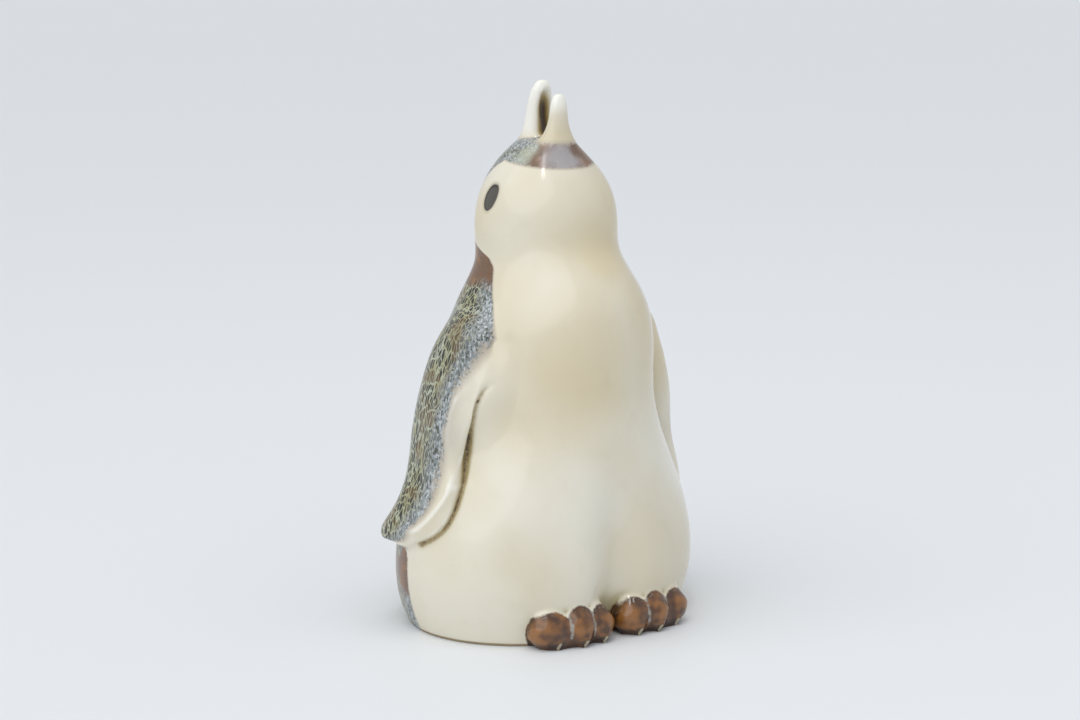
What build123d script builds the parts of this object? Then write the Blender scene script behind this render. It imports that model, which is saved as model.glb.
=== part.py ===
from build123d import *
import math
import os

# Glazed stoneware penguin that sits with its beak raised and open. The trunk and the head are hollow
# castings, and the head's spigot drops into the trunk's neck bore. The beak halves, flippers and feet are
# made apart and stuck on at keyed seats, and an oval eye is inlaid on each side of the head.
# Sizes are millimetres. The origin is on the table, under the middle of the body. +Z is up, the penguin
# faces -Y, and +X is its left side.

# Trunk, level by level from the table: rise above the level below, half width, reach to front and back.
BASE_HALF_WIDTH = 44.2
BASE_FRONT = 36.6
BASE_BACK = 37.5
ROLL_RISE = 8.0
ROLL_HALF_WIDTH = 47.2
ROLL_FRONT = 38.2
ROLL_BACK = 40.8
HAUNCH_RISE = 13.0
HAUNCH_HALF_WIDTH = 48.7
HAUNCH_FRONT = 39.6
HAUNCH_BACK = 40.0
HIP_RISE = 16.0
HIP_HALF_WIDTH = 45.2
HIP_FRONT = 38.8
HIP_BACK = 38.0
LOIN_RISE = 16.0
LOIN_HALF_WIDTH = 37.8
LOIN_FRONT = 37.6
LOIN_BACK = 35.2
WAIST_RISE = 18.0
WAIST_HALF_WIDTH = 32.2
WAIST_FRONT = 35.6
WAIST_BACK = 33.0
CHEST_RISE = 17.0
CHEST_HALF_WIDTH = 31.2
CHEST_FRONT = 36.6
CHEST_BACK = 29.0
SHOULDER_RISE = 13.0
SHOULDER_HALF_WIDTH = 27.2
SHOULDER_FRONT = 35.0
SHOULDER_BACK = 22.2
COLLAR_RISE = 6.5
COLLAR_HALF_WIDTH = 23.6
COLLAR_FRONT = 31.2
COLLAR_BACK = 19.6
NECK_RISE = 6.5
NECK_HALF_WIDTH = 21.4
NECK_FRONT = 25.2
NECK_BACK = 20.6

# Soft crease between the thighs, from the table up to where it fades into the belly.
CREASE_DEPTH = 6.8
CREASE_HALF_WIDTH = 8.5
CREASE_TOP = 70.0

# Head, level by level from the neck up to the flat seat of the beak.
JOWL_RISE = 6.0
JOWL_HALF_WIDTH = 21.8
JOWL_FRONT = 22.8
JOWL_BACK = 20.6
CHEEK_RISE = 10.0
CHEEK_HALF_WIDTH = 20.6
CHEEK_FRONT = 21.4
CHEEK_BACK = 19.7
BROW_RISE = 9.0
BROW_HALF_WIDTH = 15.8
BROW_FRONT = 16.0
BROW_BACK = 16.0
BEAK_SEAT_RISE = 8.0
BEAK_SEAT_HALF_WIDTH = 7.8
BEAK_SEAT_FRONT = 11.2
BEAK_SEAT_BACK = 9.4

# Cast walls and openings.
WALL = 5.0
FLOOR = 5.0
POUR_HOLE_RADIUS = 9.0
NECK_BORE_RADIUS = 12.0
SPIGOT_LENGTH = 5.0
SPIGOT_WALL = 3.0
HEAD_FLOOR = 4.0
CROWN_THICKNESS = 10.0

# Keys that locate the stuck-on pieces, and the slip gap around them.
KEY_RADIUS = 2.4
KEY_LENGTH = 3.0
KEY_ROOT = 2.0
BEAK_KEY_RADIUS = 1.6
SLIP_GAP = 0.15

# Upper beak half, level by level above its seat: rise, place along Y, half width and half depth.
UPPER_ROOT_Y = 4.4
UPPER_ROOT_HALF_WIDTH = 5.8
UPPER_ROOT_HALF_DEPTH = 4.6
UPPER_SHANK_RISE = 4.0
UPPER_SHANK_Y = 4.0
UPPER_SHANK_HALF_WIDTH = 4.3
UPPER_SHANK_HALF_DEPTH = 4.0
UPPER_BLADE_RISE = 6.5
UPPER_BLADE_Y = 2.8
UPPER_BLADE_HALF_WIDTH = 3.9
UPPER_BLADE_HALF_DEPTH = 3.2
UPPER_NIB_RISE = 5.0
UPPER_NIB_Y = 1.6
UPPER_NIB_HALF_WIDTH = 3.2
UPPER_NIB_HALF_DEPTH = 2.4
UPPER_TIP_RISE = 2.5
UPPER_TIP_Y = 1.0
UPPER_TIP_HALF_WIDTH = 1.7
UPPER_TIP_HALF_DEPTH = 1.2

# Lower beak half, in the same way.
LOWER_ROOT_Y = -6.2
LOWER_ROOT_HALF_WIDTH = 6.4
LOWER_ROOT_HALF_DEPTH = 4.6
LOWER_SHANK_RISE = 3.4
LOWER_SHANK_Y = -6.6
LOWER_SHANK_HALF_WIDTH = 4.2
LOWER_SHANK_HALF_DEPTH = 3.1
LOWER_BLADE_RISE = 5.0
LOWER_BLADE_Y = -7.0
LOWER_BLADE_HALF_WIDTH = 3.0
LOWER_BLADE_HALF_DEPTH = 2.4
LOWER_NIB_RISE = 3.4
LOWER_NIB_Y = -7.1
LOWER_NIB_HALF_WIDTH = 2.4
LOWER_NIB_HALF_DEPTH = 1.9
LOWER_TIP_RISE = 1.6
LOWER_TIP_Y = -7.1
LOWER_TIP_HALF_WIDTH = 1.4
LOWER_TIP_HALF_DEPTH = 1.0

# Channels along the insides of the beak halves: half width, depth and clear ends.
CHANNEL_HALF_WIDTH = 2.1
CHANNEL_DEPTH = 1.8
CHANNEL_END = 2.2

# Flipper, level by level down from its top: drop from the level above, leading and trailing edges along
# Y, then lifts off the trunk's side: of the rim, the crown, the trailing edge and the inner face.
FLIPPER_TOP_DROP = 2.0
FLIPPER_TOP_LEAD = -6.0
FLIPPER_TOP_TRAIL = 8.0
FLIPPER_TOP_RIM = -0.2
FLIPPER_TOP_CROWN = 0.6
FLIPPER_TOP_LIFT = -1.4
FLIPPER_TOP_SEAT = -3.5
FLIPPER_ARM_DROP = 12.0
FLIPPER_ARM_LEAD = -13.5
FLIPPER_ARM_TRAIL = 14.0
FLIPPER_ARM_RIM = 5.2
FLIPPER_ARM_CROWN = 5.0
FLIPPER_ARM_LIFT = 1.2
FLIPPER_ARM_SEAT = -3.0
FLIPPER_ELBOW_DROP = 14.0
FLIPPER_ELBOW_LEAD = -12.5
FLIPPER_ELBOW_TRAIL = 17.0
FLIPPER_ELBOW_RIM = 7.2
FLIPPER_ELBOW_CROWN = 7.8
FLIPPER_ELBOW_LIFT = 4.0
FLIPPER_ELBOW_SEAT = -3.0
FLIPPER_BLADE_DROP = 16.0
FLIPPER_BLADE_LEAD = -9.0
FLIPPER_BLADE_TRAIL = 17.5
FLIPPER_BLADE_RIM = 6.8
FLIPPER_BLADE_CROWN = 6.6
FLIPPER_BLADE_LIFT = 3.2
FLIPPER_BLADE_SEAT = -3.0
FLIPPER_WRIST_DROP = 15.0
FLIPPER_WRIST_LEAD = -10.5
FLIPPER_WRIST_TRAIL = 15.5
FLIPPER_WRIST_RIM = 3.4
FLIPPER_WRIST_CROWN = 3.4
FLIPPER_WRIST_LIFT = 1.6
FLIPPER_WRIST_SEAT = -3.0
FLIPPER_HAND_DROP = 8.0
FLIPPER_HAND_LEAD = -9.8
FLIPPER_HAND_TRAIL = 18.5
FLIPPER_HAND_RIM = 2.6
FLIPPER_HAND_CROWN = 3.2
FLIPPER_HAND_LIFT = 2.4
FLIPPER_HAND_SEAT = -1.5
FLIPPER_TIP_DROP = 3.6
FLIPPER_TIP_LEAD = -5.4
FLIPPER_TIP_TRAIL = 20.0
FLIPPER_TIP_RIM = 2.6
FLIPPER_TIP_CROWN = 3.8
FLIPPER_TIP_LIFT = 3.8
FLIPPER_TIP_SEAT = -1.0
FLIPPER_END_DROP = 3.8
FLIPPER_END_LEAD = 3.0
FLIPPER_END_TRAIL = 17.6
FLIPPER_END_RIM = 2.8
FLIPPER_END_CROWN = 3.6
FLIPPER_END_LIFT = 3.6
FLIPPER_END_SEAT = 0.5
FLIPPER_EDGE = 3.4
RIM_ROUND = 3.0
EDGE_ROUND = 2.2

# Feet: three toes side by side, each a knuckle and a claw that reaches the table in front of the base.
INNER_TOE_X = 6.6
TOE_SPREAD = 7.4
TOE_HALF_WIDTH = 5.0
OUTER_TOE_EXTRA = 1.0
TOE_HALF_HEIGHT = 7.0
TOE_CENTRE_HEIGHT = 4.0
TOE_SET_IN = 1.5
TOE_OVERHANG = 3.7
INNER_TOE_SET_BACK = 0.4
OUTER_TOE_SET_BACK = 2.4
KNUCKLE_HALF_HEIGHT = 4.6
KNUCKLE_CENTRE_HEIGHT = 7.0
KNUCKLE_SET_IN = 0.4
KNUCKLE_OVERHANG = 3.4
CLAW_HALF_WIDTH = 2.6
CLAW_HALF_HEIGHT = 3.2
CLAW_CENTRE_HEIGHT = 1.4
CLAW_SET_IN = -0.6
CLAW_OVERHANG = 5.0
WEB_HALF_WIDTH = 12.5
WEB_HALF_HEIGHT = 4.5
WEB_OVERHANG = 2.6
FOOT_KEY_HEIGHT = 5.4

# Eyes: ovals that lean forward at the top, inlaid flush with the cheek.
EYE_RISE = 17.0
EYE_HALF_WIDTH = 3.0
EYE_HALF_HEIGHT = 4.3
EYE_LEAN = 17.0
EYE_TURN = 0.0
EYE_INLAY = 1.6

# Angles around an outline, from the front, close together where the crease needs them.
TRUNK_ANGLES = (0, 6, 12, 20, 32, 50, 70, 90, 112, 135, 158, 180)
HEAD_ANGLES = (0, 30, 60, 90, 120, 150, 180)
BEYOND = 30.0

# Heights above the table that several pieces share.
ROLL_HEIGHT = ROLL_RISE
HAUNCH_HEIGHT = ROLL_HEIGHT + HAUNCH_RISE
HIP_HEIGHT = HAUNCH_HEIGHT + HIP_RISE
LOIN_HEIGHT = HIP_HEIGHT + LOIN_RISE
WAIST_HEIGHT = LOIN_HEIGHT + WAIST_RISE
CHEST_HEIGHT = WAIST_HEIGHT + CHEST_RISE
SHOULDER_HEIGHT = CHEST_HEIGHT + SHOULDER_RISE
COLLAR_HEIGHT = SHOULDER_HEIGHT + COLLAR_RISE
NECK_HEIGHT = COLLAR_HEIGHT + NECK_RISE
JOWL_HEIGHT = NECK_HEIGHT + JOWL_RISE
CHEEK_HEIGHT = JOWL_HEIGHT + CHEEK_RISE
BROW_HEIGHT = CHEEK_HEIGHT + BROW_RISE
BEAK_SEAT_HEIGHT = BROW_HEIGHT + BEAK_SEAT_RISE


def crease_depth(height):
    """Depth of the crease at a height: full at the table, fading out at its top."""
    rise = min(max(height / CREASE_TOP, 0.0), 1.0)
    return CREASE_DEPTH * (1.0 - rise * rise * (3.0 - 2.0 * rise))


def outline(level, angles, inset=0.0, creased=False):
    """Closed outline of a level, drawn in by inset: two half ellipses that share a width."""
    height, half_width, front, back = level
    depth = crease_depth(height) if creased else 0.0

    def point(degrees):
        x = (half_width - inset) * math.sin(math.radians(degrees))
        reach = front if abs(degrees) < 90 else back
        y = -(reach - inset) * math.cos(math.radians(degrees))
        if abs(degrees) < 90:
            y += depth * math.exp(-((x / CREASE_HALF_WIDTH) ** 2))
        return Vector(x, y, height)

    turns = list(angles) + [-a for a in reversed(angles[1:-1])]
    return Face(Wire([Spline(*[point(a) for a in turns], periodic=True)]))


def trunk_levels():
    return [
        (0.0, BASE_HALF_WIDTH, BASE_FRONT, BASE_BACK),
        (ROLL_HEIGHT, ROLL_HALF_WIDTH, ROLL_FRONT, ROLL_BACK),
        (HAUNCH_HEIGHT, HAUNCH_HALF_WIDTH, HAUNCH_FRONT, HAUNCH_BACK),
        (HIP_HEIGHT, HIP_HALF_WIDTH, HIP_FRONT, HIP_BACK),
        (LOIN_HEIGHT, LOIN_HALF_WIDTH, LOIN_FRONT, LOIN_BACK),
        (WAIST_HEIGHT, WAIST_HALF_WIDTH, WAIST_FRONT, WAIST_BACK),
        (CHEST_HEIGHT, CHEST_HALF_WIDTH, CHEST_FRONT, CHEST_BACK),
        (SHOULDER_HEIGHT, SHOULDER_HALF_WIDTH, SHOULDER_FRONT, SHOULDER_BACK),
        (COLLAR_HEIGHT, COLLAR_HALF_WIDTH, COLLAR_FRONT, COLLAR_BACK),
        (NECK_HEIGHT, NECK_HALF_WIDTH, NECK_FRONT, NECK_BACK),
    ]


def head_levels():
    return [
        (NECK_HEIGHT, NECK_HALF_WIDTH, NECK_FRONT, NECK_BACK),
        (JOWL_HEIGHT, JOWL_HALF_WIDTH, JOWL_FRONT, JOWL_BACK),
        (CHEEK_HEIGHT, CHEEK_HALF_WIDTH, CHEEK_FRONT, CHEEK_BACK),
        (BROW_HEIGHT, BROW_HALF_WIDTH, BROW_FRONT, BROW_BACK),
        (BEAK_SEAT_HEIGHT, BEAK_SEAT_HALF_WIDTH, BEAK_SEAT_FRONT, BEAK_SEAT_BACK),
    ]


def level_at(levels, height):
    """Half width, front and back of a stack of levels at any height, in straight steps."""
    for low, high in zip(levels, levels[1:]):
        if height <= high[0]:
            share = (height - low[0]) / (high[0] - low[0])
            return [a + share * (b - a) for a, b in zip(low[1:], high[1:])]
    return list(levels[-1][1:])


def beside_trunk(height, y, lift):
    """Point at a place along Y on the trunk's left side, lifted square off the surface."""
    half_width, front, back = level_at(trunk_levels(), height)
    reach = front if y < 0 else back
    x = half_width * math.sqrt(max(0.0, 1.0 - (y / reach) ** 2))
    outward = Vector(x / half_width ** 2, y / reach ** 2, 0.0).normalized()
    return Vector(x, y, height) + outward * lift


def front_of_trunk(height, x):
    """Y of the trunk's front at a height and a place along X, beside the crease."""
    half_width, front, _ = level_at(trunk_levels(), height)
    return -front * math.sqrt(max(0.0, 1.0 - (x / half_width) ** 2))


def key(seat, inward, radius, gap=0.0):
    """Round key that runs from inside its piece, through the seat, into the other piece.

    With a gap it is the socket around that key.
    """
    place = Plane(origin=seat - inward * KEY_ROOT, z_dir=inward)
    return extrude(place * Circle(radius + gap), amount=KEY_ROOT + KEY_LENGTH + gap)


def column(radius, low, high):
    """Upright cylinder on the part's axis between two heights."""
    return extrude(Plane.XY.offset(low) * Circle(radius), amount=high - low)


def egg(centre, half_sizes):
    return Pos(*centre) * scale(Sphere(1.0), by=half_sizes)


def trunk_outside():
    return loft([outline(level, TRUNK_ANGLES, creased=True) for level in trunk_levels()])


def trunk_cavity():
    levels = trunk_levels()
    inner = [(FLOOR, *levels[0][1:])] + levels[2:-1]
    return loft([outline(level, TRUNK_ANGLES, WALL, creased=True) for level in inner])


def trunk_shell(outside):
    """Hollow trunk with its pour hole, its neck bore, and a socket for each stuck-on piece."""
    shell = outside - trunk_cavity()
    shell -= column(POUR_HOLE_RADIUS, -BEYOND, FLOOR + BEYOND)
    shell -= column(NECK_BORE_RADIUS, COLLAR_HEIGHT - WALL, NECK_HEIGHT + BEYOND)
    for socket in (flipper_key(SLIP_GAP), foot_key(SLIP_GAP)):
        shell -= socket
        shell -= mirror(socket, about=Plane.YZ)
    return shell


def head_outside():
    return loft([outline(level, HEAD_ANGLES) for level in head_levels()])


def head_cavity():
    levels = head_levels()
    low = NECK_HEIGHT + HEAD_FLOOR
    high = BEAK_SEAT_HEIGHT - CROWN_THICKNESS
    inner = [(low, *level_at(levels, low)), levels[2], (high, *level_at(levels, high))]
    return loft([outline(level, HEAD_ANGLES, WALL) for level in inner])


def head_shell(outside):
    """Hollow head with its spigot, its vent, the eye recesses and the beak's sockets."""
    spigot_radius = NECK_BORE_RADIUS - SLIP_GAP
    shell = outside - head_cavity()
    shell += column(spigot_radius, NECK_HEIGHT - SPIGOT_LENGTH, NECK_HEIGHT + HEAD_FLOOR / 2)
    shell -= column(spigot_radius - SPIGOT_WALL, NECK_HEIGHT - BEYOND, NECK_HEIGHT + HEAD_FLOOR + WALL)
    recess = eye_plug(SLIP_GAP)
    shell -= recess
    shell -= mirror(recess, about=Plane.YZ)
    for beak_y in (UPPER_ROOT_Y, LOWER_ROOT_Y):
        shell -= beak_key(beak_y, SLIP_GAP)
    return shell


def eye_plug(gap=0.0):
    """Oval prism that runs outward through the left cheek, from the bottom of the inlay."""
    height = NECK_HEIGHT + EYE_RISE
    half_width, front, _ = level_at(head_levels(), height)
    turn = math.radians(EYE_TURN)
    out = Vector(math.cos(turn), -math.sin(turn), 0.0)
    start = Vector(half_width * out.X, front * out.Y, height) - out * (EYE_INLAY + gap)
    forward = Vector(out.Y, -out.X, 0.0)
    place = Plane(origin=start, x_dir=forward, z_dir=out)
    oval = Rot(0, 0, EYE_LEAN) * Ellipse(EYE_HALF_WIDTH + gap, EYE_HALF_HEIGHT + gap)
    return extrude(place * oval, amount=BEYOND)


def beak_key(y, gap=0.0):
    return key(Vector(0.0, y, BEAK_SEAT_HEIGHT), Vector(0, 0, -1), BEAK_KEY_RADIUS, gap)


def beak_half(levels, channel_side):
    """Tapered beak half with a channel along its inside, which faces along Y by channel_side."""
    sections = []
    height = BEAK_SEAT_HEIGHT
    for rise, y, half_width, half_depth in levels:
        height += rise
        sections.append(Pos(0, y, height) * Ellipse(half_width, half_depth))
    low = BEAK_SEAT_HEIGHT + CHANNEL_END
    high = height - CHANNEL_END
    _, blade_y, _, blade_half_depth = levels[2]
    inside_y = blade_y + channel_side * blade_half_depth
    channel = egg((0, inside_y, (low + high) / 2), (CHANNEL_HALF_WIDTH, CHANNEL_DEPTH, (high - low) / 2))
    return loft(sections) - channel + beak_key(levels[0][1])


def upper_beak():
    return beak_half([
        (0.0, UPPER_ROOT_Y, UPPER_ROOT_HALF_WIDTH, UPPER_ROOT_HALF_DEPTH),
        (UPPER_SHANK_RISE, UPPER_SHANK_Y, UPPER_SHANK_HALF_WIDTH, UPPER_SHANK_HALF_DEPTH),
        (UPPER_BLADE_RISE, UPPER_BLADE_Y, UPPER_BLADE_HALF_WIDTH, UPPER_BLADE_HALF_DEPTH),
        (UPPER_NIB_RISE, UPPER_NIB_Y, UPPER_NIB_HALF_WIDTH, UPPER_NIB_HALF_DEPTH),
        (UPPER_TIP_RISE, UPPER_TIP_Y, UPPER_TIP_HALF_WIDTH, UPPER_TIP_HALF_DEPTH),
    ], -1)


def lower_beak():
    return beak_half([
        (0.0, LOWER_ROOT_Y, LOWER_ROOT_HALF_WIDTH, LOWER_ROOT_HALF_DEPTH),
        (LOWER_SHANK_RISE, LOWER_SHANK_Y, LOWER_SHANK_HALF_WIDTH, LOWER_SHANK_HALF_DEPTH),
        (LOWER_BLADE_RISE, LOWER_BLADE_Y, LOWER_BLADE_HALF_WIDTH, LOWER_BLADE_HALF_DEPTH),
        (LOWER_NIB_RISE, LOWER_NIB_Y, LOWER_NIB_HALF_WIDTH, LOWER_NIB_HALF_DEPTH),
        (LOWER_TIP_RISE, LOWER_TIP_Y, LOWER_TIP_HALF_WIDTH, LOWER_TIP_HALF_DEPTH),
    ], 1)


def flipper_levels():
    """Drop, leading and trailing edges, and lifts of rim, crown, trailing edge and inner face."""
    return [
        (FLIPPER_TOP_DROP, FLIPPER_TOP_LEAD, FLIPPER_TOP_TRAIL,
         FLIPPER_TOP_RIM, FLIPPER_TOP_CROWN, FLIPPER_TOP_LIFT, FLIPPER_TOP_SEAT),
        (FLIPPER_ARM_DROP, FLIPPER_ARM_LEAD, FLIPPER_ARM_TRAIL,
         FLIPPER_ARM_RIM, FLIPPER_ARM_CROWN, FLIPPER_ARM_LIFT, FLIPPER_ARM_SEAT),
        (FLIPPER_ELBOW_DROP, FLIPPER_ELBOW_LEAD, FLIPPER_ELBOW_TRAIL,
         FLIPPER_ELBOW_RIM, FLIPPER_ELBOW_CROWN, FLIPPER_ELBOW_LIFT, FLIPPER_ELBOW_SEAT),
        (FLIPPER_BLADE_DROP, FLIPPER_BLADE_LEAD, FLIPPER_BLADE_TRAIL,
         FLIPPER_BLADE_RIM, FLIPPER_BLADE_CROWN, FLIPPER_BLADE_LIFT, FLIPPER_BLADE_SEAT),
        (FLIPPER_WRIST_DROP, FLIPPER_WRIST_LEAD, FLIPPER_WRIST_TRAIL,
         FLIPPER_WRIST_RIM, FLIPPER_WRIST_CROWN, FLIPPER_WRIST_LIFT, FLIPPER_WRIST_SEAT),
        (FLIPPER_HAND_DROP, FLIPPER_HAND_LEAD, FLIPPER_HAND_TRAIL,
         FLIPPER_HAND_RIM, FLIPPER_HAND_CROWN, FLIPPER_HAND_LIFT, FLIPPER_HAND_SEAT),
        (FLIPPER_TIP_DROP, FLIPPER_TIP_LEAD, FLIPPER_TIP_TRAIL,
         FLIPPER_TIP_RIM, FLIPPER_TIP_CROWN, FLIPPER_TIP_LIFT, FLIPPER_TIP_SEAT),
        (FLIPPER_END_DROP, FLIPPER_END_LEAD, FLIPPER_END_TRAIL,
         FLIPPER_END_RIM, FLIPPER_END_CROWN, FLIPPER_END_LIFT, FLIPPER_END_SEAT),
    ]


def flipper_section(height, level):
    """Outline across the flipper: a round rim in front, a crown, and a thinner trailing edge."""
    _, lead, trail, rim, crown, lift, seat = level
    middle = (lead + trail) / 2
    places = [
        (lead, rim / 2),
        (lead + RIM_ROUND, rim),
        (middle, crown),
        (trail - EDGE_ROUND, lift + FLIPPER_EDGE / 2),
        (trail, lift),
        (trail - EDGE_ROUND, lift - FLIPPER_EDGE / 2),
        (middle, seat),
        (lead + RIM_ROUND, seat),
    ]
    points = [beside_trunk(height, y, out) for y, out in places]
    return Face(Wire([Spline(*points, periodic=True)]))


def flipper_key(gap=0.0):
    seat = beside_trunk(WAIST_HEIGHT, 0.0, 0.0)
    return key(seat, Vector(-1, 0, 0), KEY_RADIUS, gap)


def flipper_form():
    """Left flipper before it is cut to the trunk's side."""
    sections = []
    height = SHOULDER_HEIGHT
    for level in flipper_levels():
        height -= level[0]
        sections.append(flipper_section(height, level))
    return loft(sections)


def foot_key(gap=0.0):
    x = INNER_TOE_X + TOE_SPREAD
    seat = Vector(x, front_of_trunk(FOOT_KEY_HEIGHT, x), FOOT_KEY_HEIGHT)
    return key(seat, Vector(0, 1, 0), KEY_RADIUS, gap)


def foot_form():
    """Left foot before it is cut to the trunk's front: three toes with claws, and the web between them."""
    toe_half_length = TOE_SET_IN + TOE_OVERHANG
    knuckle_half_length = KNUCKLE_SET_IN + KNUCKLE_OVERHANG
    claw_half_length = CLAW_SET_IN + CLAW_OVERHANG
    web_half_length = TOE_SET_IN + WEB_OVERHANG
    web_x = INNER_TOE_X + TOE_SPREAD
    lump = egg((web_x, TOE_SET_IN - BASE_FRONT, 0.0), (WEB_HALF_WIDTH, web_half_length, WEB_HALF_HEIGHT))
    toes = (
        (0.0, INNER_TOE_SET_BACK, TOE_HALF_WIDTH),
        (TOE_SPREAD, 0.0, TOE_HALF_WIDTH),
        (2 * TOE_SPREAD + OUTER_TOE_EXTRA, OUTER_TOE_SET_BACK, TOE_HALF_WIDTH + OUTER_TOE_EXTRA),
    )
    for aside, set_back, half_width in toes:
        x = INNER_TOE_X + aside
        base = set_back - BASE_FRONT
        lump += egg((x, base + TOE_SET_IN, TOE_CENTRE_HEIGHT), (half_width, toe_half_length, TOE_HALF_HEIGHT))
        lump += egg((x, base + KNUCKLE_SET_IN, KNUCKLE_CENTRE_HEIGHT),
                    (half_width, knuckle_half_length, KNUCKLE_HALF_HEIGHT))
        lump += egg((x, base + CLAW_SET_IN, CLAW_CENTRE_HEIGHT),
                    (CLAW_HALF_WIDTH, claw_half_length, CLAW_HALF_HEIGHT))
    below_table = Pos(0, 0, -BEYOND) * Box(8 * BEYOND, 8 * BEYOND, 2 * BEYOND)
    return lump - below_table


def main():
    os.makedirs("parts", exist_ok=True)
    trunk = trunk_outside()
    head = head_outside()
    pieces = {
        "trunk_shell": trunk_shell(trunk),
        "head_shell": head_shell(head),
        "upper_beak": upper_beak(),
        "lower_beak": lower_beak(),
    }
    for name, form, peg in (("flipper", flipper_form(), flipper_key()), ("foot", foot_form(), foot_key())):
        pieces["left_" + name] = form - trunk + peg
        pieces["right_" + name] = mirror(form, about=Plane.YZ) - trunk + mirror(peg, about=Plane.YZ)
    pieces["left_eye"] = eye_plug() & head
    pieces["right_eye"] = mirror(eye_plug(), about=Plane.YZ) & head
    for name, piece in pieces.items():
        export_step(piece, f"parts/{name}.step")


main()
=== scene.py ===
import logging
import math
from dataclasses import dataclass, field
from enum import Enum
from typing import Union

import bmesh
import bpy
import numpy as np
from mathutils import Matrix, Vector, noise
from mathutils.bvhtree import BVHTree


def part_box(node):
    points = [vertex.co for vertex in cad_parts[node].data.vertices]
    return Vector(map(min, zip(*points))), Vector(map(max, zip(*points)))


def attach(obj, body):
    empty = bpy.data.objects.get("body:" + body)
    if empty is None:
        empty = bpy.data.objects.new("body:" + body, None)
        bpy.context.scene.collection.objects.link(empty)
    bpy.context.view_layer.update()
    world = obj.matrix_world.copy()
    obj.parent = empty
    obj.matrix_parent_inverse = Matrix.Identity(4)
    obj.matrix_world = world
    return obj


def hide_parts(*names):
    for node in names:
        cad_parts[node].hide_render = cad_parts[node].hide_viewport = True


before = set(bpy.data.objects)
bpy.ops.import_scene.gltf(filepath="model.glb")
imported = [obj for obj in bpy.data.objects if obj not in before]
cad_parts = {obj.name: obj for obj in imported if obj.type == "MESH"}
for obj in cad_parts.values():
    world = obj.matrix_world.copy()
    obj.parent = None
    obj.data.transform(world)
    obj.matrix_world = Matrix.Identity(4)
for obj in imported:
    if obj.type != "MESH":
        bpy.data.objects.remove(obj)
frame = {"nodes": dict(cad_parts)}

# Glazed stoneware penguin. The frame's solids are the clay pieces before they are stuck together. Here they
# run together under one skin of clay, as slip and glaze make them do, the skin is softened and modelled, and
# then it is parted again into one closed piece for each solid. Lengths are millimetres in the row frame
# unless a name says otherwise: +Z is up, the penguin faces -Y, and +X is its left side.

Array = np.ndarray
Value = Union[bpy.types.NodeSocket, float, tuple]
Line = tuple[tuple[float, ...], ...]
Spot = tuple[float, float, float, float]
Span = tuple[float, float]
LOG = logging.getLogger("penguin")

MM = 0.001
BODY = "root"
LEFT, RIGHT = "left_", "right_"
FAR_SHIFT = 6.0
FAR_ACROSS, FAR_RISE, FAR_FALL = (-2.0, 2.0), (60.0, 84.0), (112.0, 94.0)


class Slot(Enum):
    """Material slots of the record."""

    CREAM = "cream_glaze"
    FEATHER = "feather_glaze"
    BROWN = "brown_glaze"
    EYE = "eye_glaze"


class Paint(Enum):
    """Fields that the skin carries for the glaze, one number for each vertex."""

    CAPE = "cape"
    PLAIN = "plain"
    # Painted sheen in the middle of the brow band.
    SMOKE = "brow_sheen"
    WASH = "wash"
    STAIN = "stain"
    RAGGED = "ragged"
    BEAK = "beak"
    # White glaze on the beak, and painted light on the belly.
    WHITE = "white"
    GULLET = "gullet"
    FOOT = "foot"
    # Claws, and painted shade low on the toes.
    CLAW_AND_SHADE = "claw"
    NAIL = "nail"
    EYE = "eye"
    SEAM = "seam"
    GAP = "gap"
    POOL = "pool"
    # Painted shade in broad hollows.
    HOLLOW_SHADE = "hollow"
    EDGE = "edge"
    BARE = "bare"


def step(low: float, high: float, value: Array) -> Array:
    """Smooth rise from 0 at low to 1 at high, or a fall where high is the smaller."""
    share = np.clip((value - low) / (high - low), 0.0, 1.0)
    return share * share * (3.0 - 2.0 * share)


def band(rise: Span, fall: Span, value: Array) -> Array:
    """Smooth rise from 0 to 1 over one span and smooth fall back to 0 over another."""
    return step(*rise, value) * step(*fall, value)


def follow(line: Line, place: Array) -> Array:
    """Second coordinates of a line at the given first coordinates, in straight steps."""
    along, across = np.array(sorted(line)).T
    return np.interp(place, along, across)


def bell(value: Array, half_width: float) -> Array:
    """Bell curve of the given half width around zero."""
    return np.exp(-((value / half_width) ** 2))


def beside_line(line: Line, points: Array) -> Array:
    """Distance of each point from a line, once the line's corners are rounded.

    Args:
        line: corners of the line.
        points: the points, with as many coordinates as the corners have.

    Returns:
        The distance from the nearest part of the line.
    """
    nearest = np.full(len(points), np.inf)
    places = np.linspace(0, len(line) - 1, 6 * len(line))
    round_line = np.stack([np.interp(places, range(len(line)), part) for part in np.array(line).T], 1)
    for _ in range(24):
        round_line[1:-1] = (round_line[:-2] + 2 * round_line[1:-1] + round_line[2:]) / 4
    for start, end in zip(round_line[:-1], round_line[1:]):
        run = end - start
        share = np.clip((points - start) @ run / (run @ run), 0.0, 1.0)
        nearest = np.minimum(nearest, np.linalg.norm(points - start - share[:, None] * run, axis=1))
    return nearest


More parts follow.
